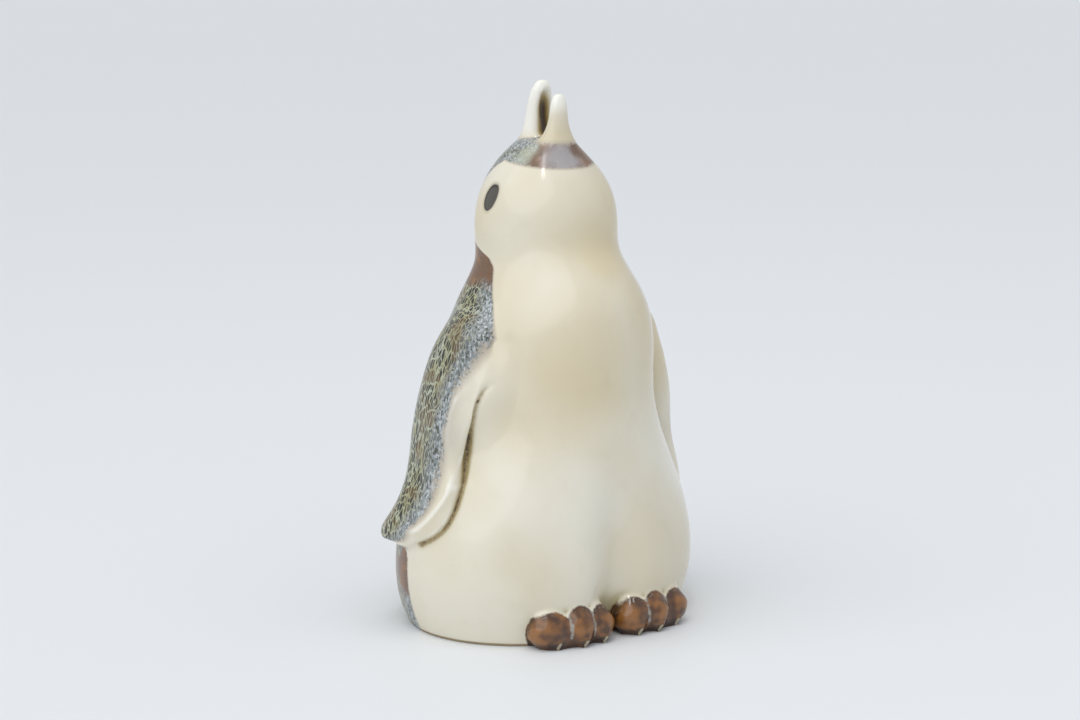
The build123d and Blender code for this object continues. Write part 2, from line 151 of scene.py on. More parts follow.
class Skin:
    """One closed skin over all the solids, with its fields, ready to be parted into pieces."""

    REACH = 10.0

    def __init__(self, nodes: dict[str, bpy.types.Object], voxel: float, stopper: "Stopper") -> None:
        """Runs the solids together.

        Args:
            nodes: the frame's solids by name.
            voxel: edge of the cells that the skin is made of.
            stopper: disc that shuts the hollow, so that the skin has no inside.
        """
        mesh = self._run_together(nodes, voxel, stopper)
        self.coords = np.empty(len(mesh.vertices) * 3)
        mesh.vertices.foreach_get("co", self.coords)
        self.coords = self.coords.reshape(-1, 3) / MM
        self.faces = np.empty(len(mesh.loops), dtype=np.int64)
        mesh.loops.foreach_get("vertex_index", self.faces)
        self.faces = self.faces.reshape(-1, 4)
        self.edges = np.empty(len(mesh.edges) * 2, dtype=np.int64)
        mesh.edges.foreach_get("vertices", self.edges)
        self.edges = self.edges.reshape(-1, 2)
        bpy.data.meshes.remove(mesh)
        self.counts = np.bincount(self.edges.ravel(), minlength=len(self.coords))
        self.fields = {paint: np.zeros(len(self.coords)) for paint in Paint}
        self.away = {name: self._away_from(node) for name, node in nodes.items()}
        LOG.info("skin of %d vertices and %d faces", len(self.coords), len(self.faces))

    @staticmethod
    def _run_together(nodes: dict[str, bpy.types.Object], voxel: float, stopper: "Stopper") -> bpy.types.Mesh:
        """Joins copies of the solids and covers them with one mesh of even quads."""
        clay = bmesh.new()
        for node in nodes.values():
            clay.from_mesh(node.data)
        stopper.add_to(clay)
        mesh = bpy.data.meshes.new("clay")
        clay.to_mesh(mesh)
        clay.free()
        lump = bpy.data.objects.new("clay", mesh)
        bpy.context.scene.collection.objects.link(lump)
        remesh = lump.modifiers.new("voxels", "REMESH")
        remesh.mode = "VOXEL"
        remesh.voxel_size = voxel * MM
        graph = bpy.context.evaluated_depsgraph_get()
        skin = bpy.data.meshes.new_from_object(lump.evaluated_get(graph))
        bpy.data.objects.remove(lump)
        bpy.data.meshes.remove(mesh)
        return skin

    def _away_from(self, node: bpy.types.Object) -> Array:
        """Distance of each vertex from a solid, up to the reach."""
        points = np.empty(len(node.data.vertices) * 3)
        node.data.vertices.foreach_get("co", points)
        points = points.reshape(-1, 3) / MM
        tree = BVHTree.FromPolygons(points.tolist(), [tuple(p.vertices) for p in node.data.polygons])
        near = np.all(self.coords > points.min(0) - self.REACH, 1)
        near &= np.all(self.coords < points.max(0) + self.REACH, 1)
        away = np.full(len(self.coords), self.REACH)
        for index in np.flatnonzero(near):
            hit = tree.find_nearest(self.coords[index], self.REACH)
            if hit[3] is not None:
                away[index] = hit[3]
        return away

    def between(self, name: str, others: tuple[str, ...]) -> Array:
        """Signed distance from the seam of a piece with others, above zero on the piece."""
        seam = np.minimum.reduce([self.away[other] for other in others]) - self.away[name]
        return np.where(self.away[name] < self.REACH, seam, -self.REACH)

    def neighbour_mean(self, values: Array) -> Array:
        """Mean of the values at the neighbours of each vertex."""
        columns = values.reshape(len(values), -1)
        start, end = self.edges.T
        total = np.empty_like(columns)
        for column in range(columns.shape[1]):
            total[:, column] = np.bincount(start, columns[end, column], len(values))
            total[:, column] += np.bincount(end, columns[start, column], len(values))
        return (total / self.counts[:, None]).reshape(values.shape)

    def blur(self, values: Array, rounds: int) -> Array:
        """Values spread evenly over the skin by rounds of averaging."""
        for _ in range(rounds):
            values = 0.5 * values + 0.5 * self.neighbour_mean(values)
        return values

    def soften(self, weight: Array, rounds: int) -> None:
        """Melts the shape where the weight is high."""
        share = (0.6 * weight)[:, None]
        for _ in range(rounds):
            self.coords += share * (self.neighbour_mean(self.coords) - self.coords)

    def even_out(self, rounds: int) -> None:
        """Takes the cells' steps out of the skin and keeps its volume."""
        for _ in range(rounds):
            for share in (0.5, -0.52):
                self.coords += share * (self.neighbour_mean(self.coords) - self.coords)

    def around(self, spot: Spot) -> Array:
        """Bell around a place, which has its reach as a fourth number."""
        return bell(np.linalg.norm(self.coords - np.array(spot[:3]), axis=1), spot[3])

    def raise_to(self, paint: Paint, values: Array) -> None:
        """Lifts a field to the given values where it is lower."""
        self.fields[paint] = np.maximum(self.fields[paint], values)

    def normals(self) -> Array:
        """Outward unit normal at each vertex."""
        a, b, c, d = (self.coords[self.faces[:, corner]] for corner in range(4))
        across = np.cross(c - a, d - b)
        total = np.zeros_like(self.coords)
        for axis in range(3):
            spread = np.repeat(across[:, axis], 4)
            total[:, axis] = np.bincount(self.faces.ravel(), spread, len(self.coords))
        return total / np.linalg.norm(total, axis=1, keepdims=True)

    def push(self, amount: Array) -> None:
        """Moves the skin outward along its normals."""
        self.coords += self.normals() * amount[:, None]

    def part(self, names: list[str]) -> Array:
        """Number of the piece that each face belongs to, in the order of the names."""
        away = np.stack([self.blur(self.away[name], 3) for name in names])
        owner = away[:, self.faces].sum(2).argmin(0)
        for _ in range(6):
            owner = self._untie(owner, len(names))
        return owner

    def _untie(self, owner: Array, pieces: int) -> Array:
        """Gives all faces at a pinched vertex, where a seam meets itself, to one piece."""
        owner = owner.copy()
        for piece in range(pieces):
            start, _ = self.rim(owner == piece)
            pinched = np.flatnonzero(np.bincount(start, minlength=len(self.coords)) > 1)
            if len(pinched):
                owner[np.isin(self.faces, pinched).any(1)] = piece
        return owner

    def rim(self, chosen: Array) -> tuple[Array, Array]:
        """Starts and ends of the directed edges around the chosen faces."""
        faces = self.faces[chosen]
        start = faces.ravel()
        end = np.roll(faces, -1, axis=1).ravel()
        count = len(self.coords)
        alone = ~np.isin(start * count + end, end * count + start)
        return start[alone], end[alone]


@dataclass(frozen=True)
class Stopper:
    """Disc on the floor of the trunk that shuts the pour hole from inside."""

    radius: float = 13.0
    low: float = 3.5
    high: float = 7.0

    def add_to(self, clay: bmesh.types.BMesh) -> None:
        """Adds the disc to the clay."""
        middle = Matrix.Translation((0.0, 0.0, (self.low + self.high) / 2 * MM))
        bmesh.ops.create_cone(clay, cap_ends=True, segments=48, radius1=self.radius * MM,
                              radius2=self.radius * MM, depth=(self.high - self.low) * MM, matrix=middle)


@dataclass
class SubAssembly:
    """Pieces that are modelled and painted alike."""

    names: tuple[str, ...] = ()
    slot: Slot = Slot.CREAM
    cap_depth: float = 2.0
    pieces: list[bpy.types.Object] = field(default_factory=list)

    def model(self, skin: Skin) -> None:
        """Models this sub-assembly's share of the skin."""

    def paint(self, skin: Skin) -> None:
        """Writes this sub-assembly's fields on the skin."""

    def build(self, skin: Skin, owner: Array, order: list[str], normals: Array) -> None:
        """Makes one closed piece for each solid and lets it stand for that solid.

        Args:
            skin: the finished skin.
            owner: number of the piece that each face belongs to.
            order: names of the pieces by number.
            normals: the skin's normals, so that no seam shows in the shading.
        """
        for name in self.names:
            mesh = self._closed_mesh(skin, owner == order.index(name), normals, name)
            piece = bpy.data.objects.new("glazed_" + name, mesh)
            bpy.context.scene.collection.objects.link(piece)
            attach(piece, BODY)
            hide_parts(name)
            self.pieces.append(piece)
            LOG.info("%s: %d faces", piece.name, len(mesh.polygons))

    def dress(self, finishes: dict[Slot, bpy.types.Material]) -> None:
        """Gives each piece the finish of its slot."""
        for piece in self.pieces:
            piece.data.materials.append(finishes[self.slot])

    def _closed_mesh(self, skin: Skin, chosen: Array, normals: Array, name: str) -> bpy.types.Mesh:
        """Mesh of the chosen faces, shut along each seam by a fan that reaches inward."""
        used, local = np.unique(skin.faces[chosen], return_inverse=True)
        faces = [tuple(face) for face in local.reshape(-1, 4).tolist()]
        place = {vertex: index for index, vertex in enumerate(used.tolist())}
        points = [skin.coords[used]]
        painted = {paint: [values[used]] for paint, values in skin.fields.items()}
        for loop in self._loops(*skin.rim(chosen)):
            inward = normals[loop].mean(0)
            points.append(skin.coords[loop].mean(0)[None] - inward[None] * self.cap_depth)
            for paint, values in skin.fields.items():
                painted[paint].append(values[loop].mean()[None])
            tip = len(used) + len(points) - 2
            ends = loop[1:] + loop[:1]
            faces += [(place[end], place[start], tip) for start, end in zip(loop, ends)]
        mesh = bpy.data.meshes.new("glazed_" + name)
        mesh.from_pydata((np.concatenate(points) * MM).tolist(), [], faces)
        mesh.update()
        for paint, parts in painted.items():
            layer = mesh.attributes.new(paint.value, "FLOAT", "POINT")
            layer.data.foreach_set("value", np.concatenate(parts).astype(np.float32))
        self._shade(mesh, normals[used], int(chosen.sum()))
        return mesh

    @staticmethod
    def _loops(start: Array, end: Array) -> list[list[int]]:
        """Closed loops that directed edges form."""
        onward = dict(zip(start.tolist(), end.tolist()))
        loops = []
        while onward:
            loop = [next(iter(onward))]
            while loop[-1] in onward:
                loop.append(onward.pop(loop[-1]))
            loops.append(loop[:-1])
        return loops

    @staticmethod
    def _shade(mesh: bpy.types.Mesh, normals: Array, outer_faces: int) -> None:
        """Smooth shading with the skin's own normals outside and flat caps inside."""
        mesh.polygons.foreach_set("use_smooth", [True] * len(mesh.polygons))
        vertex = np.empty(len(mesh.loops), dtype=np.int64)
        mesh.loops.foreach_get("vertex_index", vertex)
        flat = np.empty(len(mesh.polygons) * 3)
        mesh.polygons.foreach_get("normal", flat)
        corners = np.full(len(mesh.polygons), 3)
        corners[:outer_faces] = 4
        wanted = np.repeat(flat.reshape(-1, 3), corners, axis=0)
        wanted[:outer_faces * 4] = normals[vertex[:outer_faces * 4]]
        mesh.normals_split_custom_set(wanted.tolist())


def far_side_shift(skin: Skin) -> Array:
    """How much further back the cape starts on the left shoulder than on the right one."""
    x, _, z = skin.coords.T
    return FAR_SHIFT * step(*FAR_ACROSS, x) * band(FAR_RISE, FAR_FALL, z)


@dataclass
class Castings(SubAssembly):
    """Hollow trunk and head, which carry the glazer's dark cape over the back."""

    names: tuple[str, ...] = ("trunk_shell", "head_shell")
    cap_depth: float = 3.0
    neck_softness: float = 2.4
    neck_rise: float = 5.0
    neck_rounds: int = 32
    waver: float = 0.22
    waver_length: float = 15.0
    waver_low: Span = (0.0, 6.0)
    # Front edge of the cape on the trunk: height, then place along Y.
    cape_edge: Line = ((-5, 3), (12, 3.5), (23, 4), (30, 8), (70, 8), (76, 0), (82, -8), (87, -13),
                       (91, -14.6), (95, -13), (100, -10.2), (106, -6.4), (110.5, -4), (113, -1), (115, 5),
                       (117, 11.5), (119, 15))
    # Lower edge of the cap on the head: place along Y, then height.
    cap_edge: Line = ((-20, 139.4), (-10, 140.3), (-3, 141.2), (1.5, 141.8), (5, 139.5), (9, 136), (12, 132),
                      (14, 127), (15.5, 118))
    # Plain brown bands: where each begins and where it ends, both as spans of height.
    nape: tuple[Span, Span] = ((102.0, 109.0), (121.0, 118.0))
    rump: tuple[Span, Span] = ((9.0, 15.0), (29.0, 24.0))
    band_wave: float = 8.0
    band_height: float = 7.0
    band_back: Span = (0.0, 10.0)
    # Plain brow: heights over which it begins, and places along Y over which it ends.
    brow_low: Span = (126.0, 130.0)
    brow_back: Span = (-4.0, -10.0)
    crown: Span = (118.0, 124.0)
    # Painted sheen: lavender in the middle of the brow band.
    brow_sheen: Spot = (-3.0, -14.0, 142.5, 6.5)
    wash: Spot = (-9.0, -7.0, 142.5, 7.5)
    bare: Span = (1.2, 0.6)
    raggedness: float = 0.25
    cap_gain: float = 2.2
    # Painted light: pale patches that brighten both sides of the belly.
    pale: tuple[Spot, ...] = ((-14, -36, 44, 24), (28, -30, 50, 24))
    belly_light_share: float = 0.4
    # Broad warm stains in the ivory.
    stains: tuple[Spot, ...] = ((18, -12, 128, 18), (24, -26, 92, 26), (-10, -30, 84, 20), (4, -24, 117, 14),
                                (-17, 8, 124, 10))

    def model(self, skin: Skin) -> None:
        """Softens the neck and gives the clay its hand-modelled waver."""
        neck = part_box("head_shell")[0].z / MM + self.neck_rise
        skin.soften(bell(skin.coords[:, 2] - neck, self.neck_softness), self.neck_rounds)
        wave = [noise.noise(Vector(point)) for point in skin.coords / self.waver_length]
        skin.push(self.waver * np.array(wave) * step(*self.waver_low, skin.coords[:, 2]))

    def paint(self, skin: Skin) -> None:
        """Writes where the cape and the cap lie, their plain bands, the brow's painted sheen, painted light
        on the belly, the ivory's stains, and the bare foot.
        """
        _, y, z = skin.coords.T
        cape = y - follow(self.cape_edge, z) - far_side_shift(skin)
        cap = self.cap_gain * (z - follow(self.cap_edge, y))
        skin.fields[Paint.CAPE] = np.maximum(cape, cap)
        drawn = np.array([noise.noise(Vector(point)) for point in skin.coords / self.band_wave])
        uneven = z + self.band_height * drawn * step(*self.band_back, y)
        brow = step(*self.brow_low, z) * step(*self.brow_back, y)
        bands = [band(*self.nape, uneven), band(*self.rump, uneven), brow]
        skin.fields[Paint.PLAIN] = np.maximum.reduce(bands)
        skin.fields[Paint.SMOKE] = skin.around(self.brow_sheen)
        skin.fields[Paint.WASH] = skin.around(self.wash)
        # Painted light on the belly, laid through the same white field as the beak's white glaze.
        for spot in self.pale:
            skin.raise_to(Paint.WHITE, self.belly_light_share * skin.around(spot))
        for spot in self.stains:
            skin.raise_to(Paint.STAIN, skin.around(spot))
        skin.fields[Paint.RAGGED] += self.raggedness * (1.0 + step(*self.crown, z))
        skin.fields[Paint.BARE] = step(*self.bare, z)


@dataclass
class Flippers(SubAssembly):
    """Flippers that grow out of the shoulders and lie along the sides."""

    names: tuple[str, ...] = (LEFT + "flipper", RIGHT + "flipper")
    slot: Slot = Slot.FEATHER
    cap_depth: float = 6.0
    shoulder: Span = (76.0, 86.0)
    shoulder_softness: float = 5.0
    shoulder_rounds: int = 160
    tip: Span = (34.0, 30.0)
    tip_inset: float = 0.5
    tip_rounds: int = 10
    filled: str = RIGHT + "flipper"
    # Open flipper: its shoulder by seam and height, and its outer face by seam and height.
    open_seam: Span = (-8.0, -2.0)
    open_shoulder: tuple[Span, Span] = ((78.0, 84.0), (100.0, 95.0))
    outer_seam: Span = (0.5, 3.0)
    outer_low: Span = (36.0, 46.0)
    outer_high: Span = (92.0, 80.0)
    outer_share: float = 0.6
    open_swell: float = 1.5
    open_rounds: int = 110
    # Clay that fills the corner between one flipper's front wall and the belly: height, then thickness.
    filling: Line = ((52, 0), (57, 0.6), (61, 1.8), (66, 3.6), (70, 4.9), (74, 5.2), (78, 4.2), (82, 2.4),
                     (86, 0.9), (90, 0))
    filling_reach: float = 9.8
    filling_wall: float = 6.5
    # How far the front edge is moved forward: height, then length.
    lead: Line = ((35, 0), (42, 1.4), (47, 2.6), (52, 1.8), (58, 0.6), (64, 0), (71, -0.3), (77, 0))
    lead_reach: float = 4.5
    filling_front: Span = (-3.0, -8.0)
    lead_front: Span = (2.0, -4.0)
    trunk_radii: tuple[float, float] = (32.0, 36.0)
    groove_low: float = 28.5
    groove_back: float = 5.0
    groove_high: float = 74.5
    groove_depth: float = 1.1
    groove_half_width: float = 0.8
    groove_softness: float = 2.6
    groove_rounds: int = 24
    groove_smooth: Span = (60.0, 64.0)
    groove_spacing: float = 2.5
    # Hook in which the groove ends on the chest, from the top of the groove on.
    hook: Line = ((0, 0, -1), (0.3, -0.2, 0.8), (1.2, -0.6, 2.6), (3.0, -1.3, 4.4), (5.6, -2.3, 5.6),
                  (8.2, -3.5, 6.2))
    # Front edge of the flipper: place along Y, then height.
    front_edge: Line = ((-14.6, 79.6), (-14.1, 77.9), (-12.2, 75.4), (-11.2, 69.6), (-11.0, 60.8),
                        (-12.4, 51.8), (-14.3, 46.2), (-12.7, 41.5), (-10.4, 37.4), (-7.4, 33.5),
                        (-2.5, 30.0), (4, 28.4))
    roll_height: float = 0.9
    roll_place: float = 2.6
    roll_half_width: float = 1.5
    roll_length: tuple[Span, Span] = ((29.0, 33.0), (77.5, 72.5))
    roll_seam: Span = (1.0, 3.0)
    # Dent behind the roll: its place in half widths, and its depth as a share of the roll's height.
    dent_place: float = 2.4
    dent_share: float = 0.6
    raggedness: float = 1.1
    ragged_high: Span = (97.0, 88.0)
    # Edge of the dark glaze on the flipper: height, then place along Y.
    glaze_edge: Line = ((25.5, 22), (26.8, 18), (27.5, 10), (28.4, 5.5), (30, 3.5), (33.3, 1.3), (38, -3.1),
                        (42.8, -5.3), (48.9, -6.1), (54.9, -6.8), (61, -7.6), (67, -7.8), (72.8, -7.8),
                        (78.8, -9.1), (83.5, -11.4), (88, -13.2), (91, -14.6), (95, -13), (100, -10.2))

    def model(self, skin: Skin) -> None:
        """Melts the shoulders into the chest, shapes the front edges, and cuts a groove beside each."""
        skin.fields[Paint.SEAM] += skin.REACH
        for name in self.names:
            seam = skin.between(name, ("trunk_shell",))
            near = skin.away[name] < skin.REACH
            z = skin.coords[:, 2]
            shoulder = step(*self.shoulder, z) * near
            skin.soften(bell(seam, self.shoulder_softness) * shoulder, self.shoulder_rounds)
            skin.soften(step(*self.tip, z) * (seam > self.tip_inset) * near, self.tip_rounds)
            if name == self.filled:
                self._fill(skin, name)
                self._rim(skin, seam)
                line = self._groove_line(skin, seam, np.array(self.hook))
            else:
                open_side = step(*self.open_seam, seam) * band(*self.open_shoulder, z) * near
                outside = step(*self.outer_seam, seam) * step(*self.outer_low, z) * near
                skin.push(self.open_swell * outside * step(*self.outer_high, z))
                skin.soften(np.maximum(open_side, self.outer_share * outside), self.open_rounds)
                line = self._groove_line(skin, seam, np.zeros((1, 3)))
            aside = np.full(len(z), skin.REACH)
            aside[near] = beside_line(line, skin.coords[near])
            skin.soften(bell(aside, self.groove_softness) * step(*self.groove_smooth, z), self.groove_rounds)
            aside[near] = beside_line(line, skin.coords[near])
            skin.fields[Paint.SEAM] = np.minimum(skin.fields[Paint.SEAM], aside)
            skin.push(-self.groove_depth * bell(aside, self.groove_half_width))

    def _fill(self, skin: Skin, name: str) -> None:
        """Fills the corner in front of a flipper, so that its rim stands only a little above the belly."""
        front = step(*self.filling_front, skin.coords[:, 1])
        amount = follow(self.filling, skin.coords[:, 2]) * front
        amount *= step(self.filling_reach, 0.0, skin.away[name]) * (skin.away[name] < skin.REACH)
        amount *= step(self.filling_wall, 0.0, skin.away["trunk_shell"])
        outward = skin.coords[:, :2] / np.array(self.trunk_radii) ** 2
        outward /= np.linalg.norm(outward, axis=1, keepdims=True)
        skin.coords[:, :2] += outward * amount[:, None]
        skin.soften(step(0.2, 1.5, amount), 6)
        skin.soften(step(1.5, 4.0, skin.away[name]) * step(0.05, 0.6, amount), 30)

    def _rim(self, skin: Skin, seam: Array) -> None:
        """Bends a flipper's front edge and rolls it."""
        front = step(*self.lead_front, skin.coords[:, 1])
        skin.coords[:, 1] -= follow(self.lead, skin.coords[:, 2]) * bell(seam, self.lead_reach) * front
        length = band(*self.roll_length, skin.coords[:, 2])
        line = beside_line(self.front_edge, skin.coords[:, 1:]) - self.roll_place
        dent = bell(line - self.dent_place * self.roll_half_width, self.roll_half_width)
        roll = (bell(line, self.roll_half_width) - self.dent_share * dent) * step(*self.roll_seam, seam)
        skin.push(self.roll_height * roll * length)

    def _groove_line(self, skin: Skin, seam: Array, ending: Array) -> Array:
        """Line of the groove beside a flipper's front edge.

        Args:
            skin: the skin with the flipper's front edge in place.
            seam: signed distance from the flipper's seam with the trunk.
            ending: steps by which the line goes on from its upper end.

        Returns:
            Points along the line, from below.
        """
        _, y, z = skin.coords.T
        line = []
        for height in np.arange(self.groove_low, self.groove_high, self.groove_spacing):
            chosen = (np.abs(seam) < 0.6) & (np.abs(z - height) < 1.0) & (y < self.groove_back)
            if chosen.any():
                line.append(skin.coords[chosen].mean(0))
        return np.concatenate([line, line[-1] + ending])

    def paint(self, skin: Skin) -> None:
        """Puts the dark glaze on the outer face and keeps the front wall cream."""
        _, y, z = skin.coords.T
        dark = y - follow(self.glaze_edge, z) - far_side_shift(skin)
        for name in self.names:
            seam = skin.between(name, ("trunk_shell",))
            on_flipper = skin.blur(step(-0.4, 0.6, seam), 2)
            cape = skin.fields[Paint.CAPE]
            skin.fields[Paint.CAPE] = cape + (dark - cape) * on_flipper
            skin.fields[Paint.PLAIN] *= 1.0 - on_flipper
            ragged = skin.fields[Paint.RAGGED]
            share = on_flipper * step(*self.ragged_high, z)
            skin.fields[Paint.RAGGED] = ragged + (self.raggedness - ragged) * share


@dataclass
class Beak(SubAssembly):
    """Raised, open beak of two cream halves."""

    names: tuple[str, ...] = ("upper_beak", "lower_beak")
    cap_depth: float = 1.2
    root_softness: float = 2.2
    tip_length: float = 2.5
    channel_half_width: float = 2.0
    lower_stretch: float = 1.1
    glaze_creep: float = -0.6
    raggedness: float = 0.5

    def model(self, skin: Skin) -> None:
        """Rounds the tips and lets the roots flow into the crown."""
        for name in self.names:
            seam = skin.between(name, ("head_shell",))
            near = np.minimum(skin.away[name], skin.away["head_shell"]) < 2.5
            skin.soften(bell(seam, self.root_softness) * near, 26)
            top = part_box(name)[1].z / MM
            tip = step(top - self.tip_length, top, skin.coords[:, 2]) * (skin.away[name] < 1.0)
            skin.soften(tip, 2)
            skin.soften(0.7 * (seam > 1.0) * (skin.away[name] < 1.0), 4)
        low, high = (corner.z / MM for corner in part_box(self.names[1]))
        lower = skin.away[self.names[1]] < np.minimum(skin.away[self.names[0]], 1.0)
        skin.coords[:, 2] += self.lower_stretch * lower * step(low + 6, high, skin.coords[:, 2])

    def paint(self, skin: Skin) -> None:
        """Keeps the cape off the beak, tints the roots, and darkens the channel of the upper half."""
        masks = []
        for name, other in (self.names, self.names[::-1]):
            seam = skin.between(name, ("head_shell", other))
            masks.append(skin.blur(step(-0.3, 0.3, seam), 2))
            seam = skin.blur(skin.between(name, ("head_shell",)), 3)
            skin.fields[Paint.CAPE] = np.minimum(skin.fields[Paint.CAPE], self.glaze_creep - seam)
            near = step(3.5, 1.0, np.abs(seam))
            skin.raise_to(Paint.RAGGED, self.raggedness * near)
        on_beak = np.maximum(*masks)
        x, _, z = skin.coords.T
        low, high = (corner.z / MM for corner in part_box("upper_beak"))
        skin.fields[Paint.BEAK] = np.maximum(masks[1], 0.5 * masks[0]) * step(high - 6, low + 2, z)
        upper_white = masks[0] * step(low + 2, low + 8, z)
        tip_white = on_beak * step(low + 9, high - 5, z)
        skin.raise_to(Paint.WHITE, np.maximum(upper_white, tip_white))
        inside = bell(x, self.channel_half_width) * step(0.5, -0.6, skin.normals()[:, 1])
        tall = step(low + 1, low + 6, z) * step(high - 1, high - 9, z)
        skin.fields[Paint.GULLET] = masks[0] * inside * tall


@dataclass
class Feet(SubAssembly):
    """Feet of three round toes, with a dark claw and a pale nail on each."""

    names: tuple[str, ...] = (LEFT + "foot", RIGHT + "foot")
    slot: Slot = Slot.BROWN
    # Place of each toe across the foot, how far forward its claw reaches, and its top.
    toes: Line = ((6.6, -41.2, 10.4), (14.0, -41.6, 11.2), (22.4, -39.2, 10.2))
    # Places of the grooves between the toes across the foot.
    gaps: tuple[float, ...] = (10.3, 18.2)
    gap_half_width: float = 0.7
    gap_filling: float = 0.7
    toe_swell: float = 0.8
    swell_height: float = 5.5
    swell_reach: float = 3.0
    sole_top: float = 2.8
    sole_share: float = 1.7
    arch: float = 0.14
    outer_arch: float = 0.06
    # Painted shade on the lower toes: its share of black, and the heights over which it fades out.
    toe_shade_share: float = 0.6
    toe_shade_low: Span = (4.5, 0.5)
    # Spans over which a claw fades: across the toe, backward from its tip, and upward.
    claw_across: Span = (3.0, 1.0)
    claw_back: Span = (3.8, 1.0)
    claw_high: Span = (4.5, 1.3)
    # The same for a nail.
    nail_across: Span = (0.9, 0.3)
    nail_back: Span = (2.1, 1.3)
    nail_high: Span = (3.0, 2.0)

    def model(self, skin: Skin) -> None:
        """Rounds the seam with the belly, the tops and the soles of the toes, and swells the toes."""
        for name in self.names:
            seam = skin.between(name, ("trunk_shell",))
            skin.soften(bell(seam, 1.0) * (skin.away[name] < 2.0), 5)
            on_foot = step(-0.6, 0.8, seam) * (skin.away[name] < 2.0)
            skin.soften(on_foot, 6)
            lift = ((skin.blur(skin.coords, 14) - skin.coords) * skin.normals()).sum(1)
            skin.push(self.gap_filling * np.maximum(lift, 0.0) * on_foot)
            skin.soften(step(-2.5, 1.0, skin.coords[:, 2] - self._tops(skin)) * on_foot, 40)
            z = skin.coords[:, 2]
            bulge = bell(z - self.swell_height, self.swell_reach)
            bulge -= self.sole_share * step(self.sole_top, 0.0, z)
            sideways = skin.blur(skin.normals(), 4)[:, :2]
            skin.coords[:, :2] += sideways * (self.toe_swell * bulge * on_foot)[:, None]

    def _tops(self, skin: Skin) -> Array:
        """Height up to which the glaze covers the toes, a round arch over each of them."""
        aside = [np.abs(skin.coords[:, 0]) - place for place, _, _ in self.toes]
        outer = np.where(aside[-1] > 0, self.outer_arch, self.arch)
        arches = [self.arch] * (len(self.toes) - 1) + [outer]
        return np.max([toe[2] - arch * gap ** 2 for toe, arch, gap in zip(self.toes, arches, aside)], 0)

    def paint(self, skin: Skin) -> None:
        """Writes the brown of the feet, the claws with a painted shade low on the toes, and the nails."""
        x, y, z = skin.coords.T
        feet = np.maximum(*(skin.between(name, ("trunk_shell",)) for name in self.names))
        skin.fields[Paint.FOOT] = np.minimum(skin.blur(feet, 1), self._tops(skin) - z)
        for gap in self.gaps:
            between = bell(np.abs(x) - gap, self.gap_half_width) * step(1.5, 4.0, z)
            skin.raise_to(Paint.GAP, between)
        border = 0.5 * bell(skin.fields[Paint.FOOT] + 0.3, 0.5) * step(3.0, 6.0, z)
        skin.raise_to(Paint.GAP, border)
        skin.fields[Paint.BARE] *= step(0.5, -0.5, feet)
        # Painted shade: the toes darken towards the floor, in the same field as the claws.
        claw = self.toe_shade_share * step(*self.toe_shade_low, z)
        nail = np.zeros(len(x))
        for place, front, _ in self.toes:
            aside = np.abs(np.abs(x) - place)
            behind = y - front
            tip = step(*self.claw_across, aside) * step(*self.claw_back, behind)
            claw = np.maximum(claw, tip * step(*self.claw_high, z))
            nail = np.maximum(nail, step(*self.nail_across, aside) * step(*self.nail_back, behind))
        skin.fields[Paint.CLAW_AND_SHADE] = claw
        skin.fields[Paint.NAIL] = nail * step(*self.nail_high, z)


@dataclass
class Eyes(SubAssembly):
    """Leaning oval eyes, set a little below the glaze of the cheeks."""

    names: tuple[str, ...] = (LEFT + "eye", RIGHT + "eye")
    slot: Slot = Slot.EYE
    cap_depth: float = 1.4
    recess: float = 0.35

    def model(self, skin: Skin) -> None:
        """Sinks the eyes."""
        inside = np.maximum(*(skin.between(name, ("head_shell",)) for name in self.names))
        skin.fields[Paint.EYE] = skin.blur(inside, 2)
        skin.push(-self.recess * step(-0.3, 0.6, skin.fields[Paint.EYE]))


class Figurine:
    """The whole penguin."""

    VOXEL = 0.62

    def __init__(self) -> None:
        """Lists the sub-assemblies in the order in which they are modelled."""
        self.assemblies: list[SubAssembly] = [Castings(), Flippers(), Beak(), Feet(), Eyes()]

    def build(self) -> None:
        """Runs the solids together, models and paints the skin, and parts it into pieces."""
        skin = Skin(frame["nodes"], self.VOXEL, Stopper())
        skin.even_out(4)
        for assembly in self.assemblies:
            assembly.model(skin)
        skin.even_out(2)
        for assembly in self.assemblies:
            assembly.paint(skin)
        self._pool(skin)
        names = [name for assembly in self.assemblies for name in assembly.names]
        owner = skin.part(names)
        normals = skin.normals()
        for assembly in self.assemblies:
            assembly.build(skin, owner, names, normals)

    @staticmethod
    def _pool(skin: Skin) -> None:
        """Writes where glaze pools in grooves, where it runs thin over edges, and a painted shade in broad
        hollows.
        """
        normals = skin.normals()
        near = skin.blur(skin.coords, 14)
        far = skin.blur(near, 60)
        lift = skin.blur(((near - skin.coords) * normals).sum(1), 2)
        skin.fields[Paint.POOL] = step(0.06, 0.5, lift)
        foot = skin.fields[Paint.FOOT]
        beside_toes = step(-4.0, -2.0, foot) * step(0.2, -0.4, foot)
        skin.fields[Paint.EDGE] = step(0.07, 0.32, -lift) * (1.0 - beside_toes)
        # Painted shade: olive darkening of broad hollows, such as the throat under the chin.
        skin.fields[Paint.HOLLOW_SHADE] = step(0.0, 0.7, skin.blur(((far - near) * normals).sum(1), 10))

    def dress(self, finishes: dict[Slot, bpy.types.Material]) -> None:
        """Dresses every piece."""
        for assembly in self.assemblies:
            assembly.dress(finishes)


Tree = bpy.types.NodeTree
Socket = bpy.types.NodeSocket
MIX = "ShaderNodeMix"
RANGE = "ShaderNodeMapRange"
MATH = "ShaderNodeMath"
VECTOR_MATH = "ShaderNodeVectorMath"
NOISE = "ShaderNodeTexNoise"
CELLS = "ShaderNodeTexVoronoi"


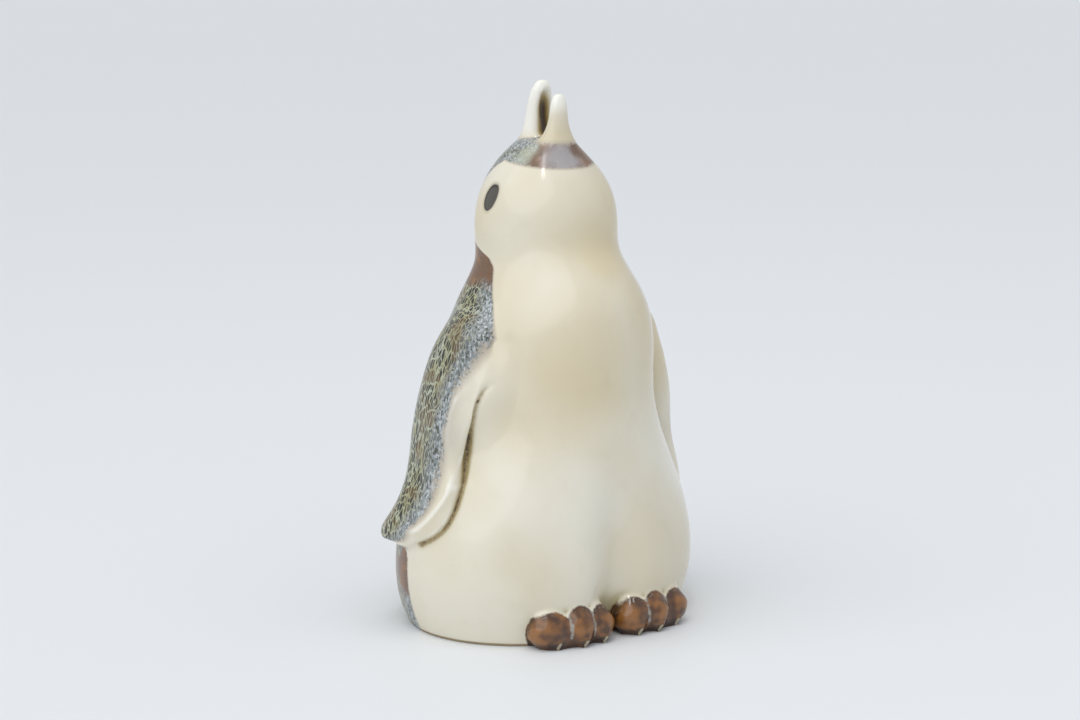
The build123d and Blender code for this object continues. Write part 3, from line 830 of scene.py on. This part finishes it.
def linear(hex_colour: str) -> tuple[float, float, float, float]:
    """Linear colour of an sRGB hex value."""
    parts = [int(hex_colour[place:place + 2], 16) / 255 for place in (1, 3, 5)]
    return (*[part / 12.92 if part <= 0.04045 else ((part + 0.055) / 1.055) ** 2.4 for part in parts], 1.0)


def per(size: float) -> float:
    """Scale that gives a pattern lumps of a size in millimetres."""
    return 1.0 / (size * MM)


def add(tree: Tree, kind: str, inputs: dict[Union[int, str], Value], out: Union[int, str] = 0,
        **settings: object) -> Socket:
    """Adds a node, sets it up, and links or sets its inputs.

    Args:
        tree: the tree that the node goes into.
        kind: the node's type.
        inputs: a socket to link or a constant to set, by the input's name or number.
        out: name or number of the output that is wanted.
        **settings: properties of the node.

    Returns:
        The wanted output, or None where the node has none.
    """
    made = tree.nodes.new(kind)
    for name, value in settings.items():
        setattr(made, name, value)
    for key, value in inputs.items():
        if isinstance(value, Socket):
            tree.links.new(value, made.inputs[key])
        else:
            made.inputs[key].default_value = value
    return made.outputs[out] if len(made.outputs) else None


@dataclass(frozen=True)
class Layer:
    """A colour that covers what lies under it where a field goes from one number to another."""

    field: Socket
    start: float
    full: float
    colour: Union[str, Socket]
    strength: float = 1.0


def lay(tree: Tree, ground: Union[str, Socket], *layers: Layer) -> Socket:
    """Lays colours over a ground colour, one after the other.

    Args:
        tree: the tree that the nodes go into.
        ground: the colour at the bottom.
        *layers: the colours above it, lowest first.

    Returns:
        The colour that shows.
    """
    shown = linear(ground) if isinstance(ground, str) else ground
    for layer in layers:
        share = add(tree, RANGE, {0: layer.field, 1: layer.start, 2: layer.full, 3: 0.0, 4: layer.strength},
                    interpolation_type="SMOOTHSTEP")
        over = linear(layer.colour) if isinstance(layer.colour, str) else layer.colour
        shown = add(tree, MIX, {0: share, 6: shown, 7: over}, 2, data_type="RGBA")
    return shown


@dataclass(frozen=True)
class TinGlaze:
    """Ivory tin glaze, poured on stoneware and fired glossy.

    It is thick and opaque. The eye sees soft warm clouds, ochre to brown where the glaze pools in grooves,
    white where it is thickest over rims, and clear reflections. Broad hollows carry an olive painted shade.
    """

    material: str = "ivory_tin_glaze_on_stoneware"
    ivory: str = "#DFDAC9"
    warm: str = "#D6CCB3"
    olive: str = "#B9AE85"
    stain: str = "#CFBC8E"
    ochre: str = "#A08C5C"
    brown: str = "#4A3823"
    white: str = "#F2F1E9"
    tan: str = "#CBBE9C"
    gullet: str = "#3A2917"
    bare_clay: str = "#9A8B70"
    cloud: float = 34.0
    mottle: float = 9.0
    speck: float = 1.5
    roughness: float = 0.13
    bare_roughness: float = 0.8


@dataclass(frozen=True)
class AshGlaze:
    """Mottled ash glaze, brushed over the ivory on the back and flippers.

    It breaks while it runs down in the kiln. The eye sees dark upright flecks in a thin yellow-green net,
    rust patches, a fine slate speckle along the edge, and plain brown where the coat is thin.
    """

    material: str = "mottled_ash_glaze_on_stoneware"
    fleck: str = "#2F2F27"
    rust: str = "#5C492F"
    net: str = "#A2A07C"
    pale_net: str = "#B4BAA6"
    slate: str = "#868D90"
    frost: str = "#C0C5C8"
    ink: str = "#50554F"
    brown: str = "#6E513A"
    russet: str = "#855B31"
    lavender: str = "#A8A4A6"
    wash: str = "#B4B8A4"
    veil: str = "#A89C8E"
    fleck_width: float = 1.25
    fleck_length: float = 4.0
    grain_width: float = 0.5
    grain_length: float = 0.9
    patch: float = 9.0
    ragged: float = 0.8
    roughness: float = 0.2


@dataclass(frozen=True)
class IronGlaze:
    """Iron-brown glaze, brushed on the feet.

    Iron burns orange where the glaze is thin and stays chocolate where it is thick. The ivory shows through
    as pale grey in the grooves between the toes. It reflects more than the other glazes.
    """

    material: str = "iron_brown_glaze_on_stoneware"
    chocolate: str = "#4C3120"
    orange: str = "#8E5F30"
    black: str = "#2A1F18"
    nail: str = "#A89D82"
    groove: str = "#9C9D96"
    patch: float = 4.0
    speck: float = 1.2
    roughness: float = 0.1
    ior: float = 1.62


@dataclass(frozen=True)
class Slip:
    """Dark slip of the eyes, dabbed on under a thin glaze: a soft sheen, with a darker outline and a painted
    shadow ring around it.
    """

    material: str = "dark_slip_on_stoneware"
    iris: str = "#4D4B45"
    outline: str = "#2E2B26"
    # Painted shadow ring on the glaze around each eye.
    shade: str = "#A89F82"
    roughness: float = 0.28


class Coat:
    """The glazes as they lie over and beside each other, one node group for all the pieces."""

    IOR = 1.5
    RIPPLE = 7.0
    RIPPLE_HEIGHT = 0.05
    PEEL = 1.2
    PEEL_HEIGHT = 0.02

    def __init__(self) -> None:
        """Starts the group and reads the skin's fields."""
        self.tin = TinGlaze()
        self.ash = AshGlaze()
        self.iron = IronGlaze()
        self.slip = Slip()
        self.tree = bpy.data.node_groups.new("layered_glazes", "ShaderNodeTree")
        for name, kind in (("Colour", "NodeSocketColor"), ("Roughness", "NodeSocketFloat"),
                           ("Height", "NodeSocketFloat")):
            self.tree.interface.new_socket(name, in_out="OUTPUT", socket_type=kind)
        self.place = add(self.tree, "ShaderNodeTexCoord", {}, "Object")
        self.fields = {paint: add(self.tree, "ShaderNodeAttribute", {}, "Fac", attribute_name=paint.value)
                       for paint in Paint}

    def finishes(self) -> dict[Slot, bpy.types.Material]:
        """Mixes the glazes.

        Returns:
            A material for each slot. All of them wear the same coat, so the glazes run on across the seams.
        """
        self._mix()
        names = {Slot.CREAM: self.tin.material, Slot.FEATHER: self.ash.material,
                 Slot.BROWN: self.iron.material, Slot.EYE: self.slip.material}
        made = {}
        for slot, name in names.items():
            material = bpy.data.materials.new(name)
            material.use_nodes = True
            tree = material.node_tree
            tree.nodes.clear()
            colour = add(tree, "ShaderNodeGroup", {}, node_tree=self.tree)
            coat = colour.node
            relief = add(tree, "ShaderNodeBump",
                         {"Strength": 1.0, "Distance": MM, "Height": coat.outputs["Height"]})
            glaze = add(tree, "ShaderNodeBsdfPrincipled",
                        {"Base Color": colour, "Roughness": coat.outputs["Roughness"],
                         "IOR": self.iron.ior if slot is Slot.BROWN else self.IOR, "Normal": relief})
            add(tree, "ShaderNodeOutputMaterial", {"Surface": glaze})
            made[slot] = material
        return made

    def _upright(self, across: float, along: float, bend: float) -> Socket:
        """Coordinates that make cells of a width and a height, a little bent.

        Args:
            across: width of a cell.
            along: height of a cell.
            bend: how far the cells are bent, as a share of their size.

        Returns:
            The coordinates.
        """
        scaled = add(self.tree, VECTOR_MATH, {0: self.place, 1: (per(across), per(across), per(along))},
                     operation="MULTIPLY")
        wave = add(self.tree, NOISE, {"Vector": scaled, "Scale": 0.7, "Detail": 2.0}, "Color")
        return add(self.tree, VECTOR_MATH, {0: wave, 1: (bend, bend, bend), 2: scaled},
                   operation="MULTIPLY_ADD")

    def _tin_coat(self) -> Socket:
        """Colour of the ivory glaze."""
        tree, tin, fields = self.tree, self.tin, self.fields
        cloud = add(tree, NOISE, {"Vector": self.place, "Scale": per(tin.cloud), "Detail": 1.5})
        mottle = add(tree, NOISE, {"Vector": self.place, "Scale": per(tin.mottle), "Detail": 4.0})
        speck = add(tree, NOISE, {"Vector": self.place, "Scale": per(tin.speck), "Detail": 2.0})
        worn = add(tree, MATH, {0: fields[Paint.POOL], 1: speck}, operation="ADD")
        aside = add(tree, MATH, {0: speck, 1: 0.8, 2: fields[Paint.SEAM]}, operation="MULTIPLY_ADD")
        return lay(tree, tin.ivory,
                   Layer(cloud, 0.38, 0.68, tin.warm, 0.8),
                   Layer(fields[Paint.STAIN], 0.0, 1.0, tin.stain, 0.5),
                   Layer(mottle, 0.5, 0.8, tin.olive, 0.1),
                   # Painted shade in broad hollows.
                   Layer(fields[Paint.HOLLOW_SHADE], 0.05, 0.8, tin.olive, 0.8),
                   Layer(fields[Paint.BEAK], 0.1, 1.0, tin.tan, 0.7),
                   # White glaze on the beak, and painted light on the belly.
                   Layer(fields[Paint.WHITE], 0.0, 1.0, tin.white, 0.8),
                   Layer(fields[Paint.POOL], 0.1, 0.8, tin.ochre, 0.75),
                   Layer(worn, 1.4, 1.75, tin.brown),
                   Layer(aside, 1.35, 0.5, tin.ochre, 0.55),
                   Layer(aside, 0.8, 0.4, tin.brown, 0.9),
                   Layer(fields[Paint.EDGE], 0.25, 1.0, tin.white, 0.7),
                   Layer(fields[Paint.GULLET], 0.02, 0.55, tin.ochre),
                   Layer(fields[Paint.GULLET], 0.35, 1.0, tin.gullet),
                   Layer(fields[Paint.BARE], 0.2, 0.8, tin.bare_clay))

    def _ash_coat(self) -> Socket:
        """Colour of the mottled glaze."""
        tree, ash, fields = self.tree, self.ash, self.fields
        upright = self._upright(ash.fleck_width, ash.fleck_length, 0.8)
        inside = add(tree, CELLS, {"Vector": upright, "Scale": 1.0}, "Distance", feature="DISTANCE_TO_EDGE")
        chance = add(tree, CELLS, {"Vector": upright, "Scale": 1.0}, "Color")
        speckle = self._upright(ash.grain_width, ash.grain_length, 0.6)
        grains = add(tree, CELLS, {"Vector": speckle, "Scale": 1.0}, "Color")
        patch = add(tree, NOISE, {"Vector": self.place, "Scale": per(ash.patch), "Detail": 2.0})
        cloud = add(tree, NOISE, {"Vector": self.place, "Scale": per(0.6 * ash.patch), "Detail": 3.0})
        drift = add(tree, MATH, {0: cloud, 1: 8.0, 2: fields[Paint.CAPE]}, operation="MULTIPLY_ADD")
        net = lay(tree, ash.net, Layer(cloud, 0.4, 0.65, ash.pale_net))
        dark = lay(tree, ash.fleck, Layer(patch, 0.52, 0.62, ash.rust), Layer(chance, 0.62, 0.92, net, 0.6))
        flecked = lay(tree, net, Layer(inside, 0.04, 0.13, dark), Layer(patch, 0.56, 0.7, ash.rust, 0.28))
        haze = lay(tree, ash.slate, Layer(grains, 0.55, 0.85, ash.frost), Layer(grains, 0.4, 0.22, ash.ink))
        sheen_share, washed, thinned = (
            add(tree, MATH, {0: cloud, 1: 0.9, 2: fields[paint]}, operation="MULTIPLY_ADD")
            for paint in (Paint.SMOKE, Paint.WASH, Paint.PLAIN))
        # Plain brown with russet clouds, and a lavender painted sheen in the middle of the brow band.
        plain = lay(tree, ash.brown, Layer(cloud, 0.45, 0.65, ash.russet),
                    Layer(sheen_share, 0.55, 1.2, ash.lavender, 0.9))
        return lay(tree, flecked,
                   Layer(drift, 12.5, 6.0, haze, 0.92),
                   Layer(washed, 0.75, 1.4, ash.wash, 0.75),
                   Layer(thinned, 0.55, 1.35, plain, 0.95))

    def _iron_coat(self) -> Socket:
        """Colour of the feet."""
        tree, iron, fields = self.tree, self.iron, self.fields
        patch = add(tree, NOISE, {"Vector": self.place, "Scale": per(iron.patch), "Detail": 1.5})
        speck = add(tree, NOISE, {"Vector": self.place, "Scale": per(iron.speck), "Detail": 2.0})
        thin = add(tree, MATH, {0: fields[Paint.EDGE], 1: 0.45, 2: patch}, operation="MULTIPLY_ADD")
        groove = add(tree, MATH, {0: speck, 1: 1.4, 2: fields[Paint.GAP]}, operation="MULTIPLY_ADD")
        return lay(tree, iron.chocolate,
                   Layer(thin, 0.38, 0.82, iron.orange),
                   Layer(groove, 1.15, 1.75, iron.groove, 0.8),
                   # Black claws, and painted shade low on the toes.
                   Layer(fields[Paint.CLAW_AND_SHADE], 0.1, 0.9, iron.black, 0.85),
                   Layer(fields[Paint.NAIL], 0.2, 0.8, iron.nail))

    def _mix(self) -> None:
        """Lays the glazes over each other and sets their gloss and relief."""
        tree, fields = self.tree, self.fields
        grit = add(tree, NOISE, {"Vector": self.place, "Scale": per(self.ash.ragged), "Detail": 3.0})
        swell = add(tree, NOISE, {"Vector": self.place, "Scale": per(4 * self.ash.ragged), "Detail": 1.0})
        jitter = add(tree, MATH, {0: grit, 1: 5.0, 2: -4.3}, operation="MULTIPLY_ADD")
        jitter = add(tree, MATH, {0: swell, 1: 3.6, 2: jitter}, operation="MULTIPLY_ADD")
        spread = add(tree, MATH, {0: fields[Paint.CAPE], 1: fields[Paint.RAGGED]}, operation="DIVIDE")
        rough_edge = add(tree, MATH, {0: spread, 1: jitter}, operation="ADD")
        foot_edge = add(tree, MATH, {0: grit, 1: 0.8, 2: fields[Paint.FOOT]}, operation="MULTIPLY_ADD")
        eye = lay(tree, self.slip.outline, Layer(fields[Paint.EYE], 0.3, 0.9, self.slip.iris))
        colour = lay(tree, self._tin_coat(),
                     Layer(spread, -3.6, 0.2, self.ash.veil, 0.75),
                     Layer(rough_edge, -1.3, 1.3, self._ash_coat()),
                     Layer(foot_edge, -1.0, -0.3, self._iron_coat()),
                     # Painted shadow ring around the recessed eye.
                     Layer(fields[Paint.EYE], -1.2, 0.0, self.slip.shade, 0.5),
                     Layer(fields[Paint.EYE], -0.1, 0.4, eye))
        gloss = add(tree, RANGE,
                    {0: rough_edge, 1: -1.3, 2: 1.3, 3: self.tin.roughness, 4: self.ash.roughness})
        for field, start, full, roughness in ((fields[Paint.EYE], -0.3, 0.1, self.slip.roughness),
                                              (fields[Paint.FOOT], -1.2, -0.8, self.iron.roughness),
                                              (fields[Paint.BARE], 0.2, 0.8, self.tin.bare_roughness)):
            rougher = add(tree, RANGE, {0: field, 1: start, 2: full, 3: 0.0, 4: roughness})
            gloss = add(tree, MATH, {0: gloss, 1: rougher}, operation="MAXIMUM")
        ripple = add(tree, NOISE, {"Vector": self.place, "Scale": per(self.RIPPLE), "Detail": 1.0})
        peel = add(tree, NOISE, {"Vector": self.place, "Scale": per(self.PEEL), "Detail": 2.0})
        height = add(tree, MATH, {0: ripple, 1: self.RIPPLE_HEIGHT}, operation="MULTIPLY")
        height = add(tree, MATH, {0: peel, 1: self.PEEL_HEIGHT, 2: height}, operation="MULTIPLY_ADD")
        add(tree, "NodeGroupOutput", {"Colour": colour, "Roughness": gloss, "Height": height})


@dataclass(frozen=True)
class Lamp:
    """Soft rectangular lamp that points at the figurine."""

    name: str
    place: tuple[float, float, float]
    size: tuple[float, float]
    power: float


@dataclass(frozen=True)
class Sun:
    """Broad lamp so far away that it lights the whole floor evenly."""

    tilt: float = 43.0
    heading: float = 80.0
    spread: float = 75.0
    strength: float = 1.08


@dataclass
class Studio:
    """Plain pale floor, soft light, and the camera at the photograph's view. Lengths are metres."""

    floor_half_size: float = 9.0
    floor_colour: str = "#E6E9EC"
    floor_roughness: float = 0.55
    sky_colour: str = "#F6F8FB"
    sky_level: float = 0.69
    sun: Sun = Sun()
    aim: tuple[float, float, float] = (0.0, 0.0, 0.08)
    camera_place: tuple[float, float, float] = (-0.4408, -0.6068, 0.221)
    camera_heading: float = -35.885
    camera_pitch: float = -10.7
    lens: float = 82.87
    sensor_width: float = 36.0
    lamps: tuple[Lamp, ...] = (
        Lamp("window", (-0.8, -0.65, 0.8), (1.2, 1.2), 0.9),
        Lamp("strip", (-0.17, -0.15, 1.15), (0.05, 0.4), 0.9),
        Lamp("second_strip", (0.2, -0.18, 1.15), (0.03, 0.4), 0.6),
    )

    def build(self) -> None:
        """Builds the floor, the light and the camera."""
        self._build_floor()
        self._build_sky()
        self._build_sun()
        for lamp in self.lamps:
            self._build_lamp(lamp)
        self._build_camera()
        bpy.context.scene.view_settings.view_transform = "Standard"

    def _build_floor(self) -> None:
        """Lays the floor."""
        mesh = bpy.data.meshes.new("floor")
        corners = [(x * self.floor_half_size, y * self.floor_half_size, 0.0)
                   for x, y in ((-1, -1), (1, -1), (1, 1), (-1, 1))]
        mesh.from_pydata(corners, [], [(0, 1, 2, 3)])
        floor = bpy.data.objects.new("floor", mesh)
        bpy.context.scene.collection.objects.link(floor)
        material = bpy.data.materials.new("pale_paper")
        material.use_nodes = True
        shader = material.node_tree.nodes["Principled BSDF"]
        shader.inputs["Base Color"].default_value = linear(self.floor_colour)
        shader.inputs["Roughness"].default_value = self.floor_roughness
        mesh.materials.append(material)

    def _build_sky(self) -> None:
        """Lights the scene evenly from all round."""
        world = bpy.data.worlds.new("studio")
        world.use_nodes = True
        sky = world.node_tree.nodes["Background"]
        sky.inputs["Color"].default_value = linear(self.sky_colour)
        sky.inputs["Strength"].default_value = self.sky_level
        bpy.context.scene.world = world

    def _build_sun(self) -> None:
        """Hangs the broad lamp."""
        light = bpy.data.lights.new("sun", "SUN")
        light.energy = self.sun.strength
        light.angle = math.radians(self.sun.spread)
        holder = bpy.data.objects.new("sun", light)
        bpy.context.scene.collection.objects.link(holder)
        holder.rotation_euler = (0.0, -math.radians(self.sun.tilt), -math.radians(self.sun.heading - 90.0))

    def _build_lamp(self, lamp: Lamp) -> None:
        """Hangs one lamp."""
        light = bpy.data.lights.new(lamp.name, "AREA")
        light.shape = "RECTANGLE"
        light.size, light.size_y = lamp.size
        light.energy = lamp.power
        holder = bpy.data.objects.new(lamp.name, light)
        bpy.context.scene.collection.objects.link(holder)
        holder.location = lamp.place
        holder.rotation_euler = (Vector(self.aim) - Vector(lamp.place)).to_track_quat("-Z", "Y").to_euler()

    def _build_camera(self) -> None:
        """Sets up the camera."""
        camera = bpy.data.cameras.new("camera")
        camera.sensor_width = self.sensor_width
        camera.lens = self.lens
        camera.clip_start = 0.01
        holder = bpy.data.objects.new("camera", camera)
        bpy.context.scene.collection.objects.link(holder)
        holder.location = self.camera_place
        holder.rotation_euler = (math.radians(90 + self.camera_pitch), 0.0, math.radians(self.camera_heading))
        bpy.context.scene.camera = holder


def main() -> None:
    """Builds the figurine and its studio."""
    logging.basicConfig(level=logging.INFO)
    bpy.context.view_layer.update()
    figurine = Figurine()
    figurine.build()
    figurine.dress(Coat().finishes())
    Studio().build()


if __name__ == "__main__":
    main()
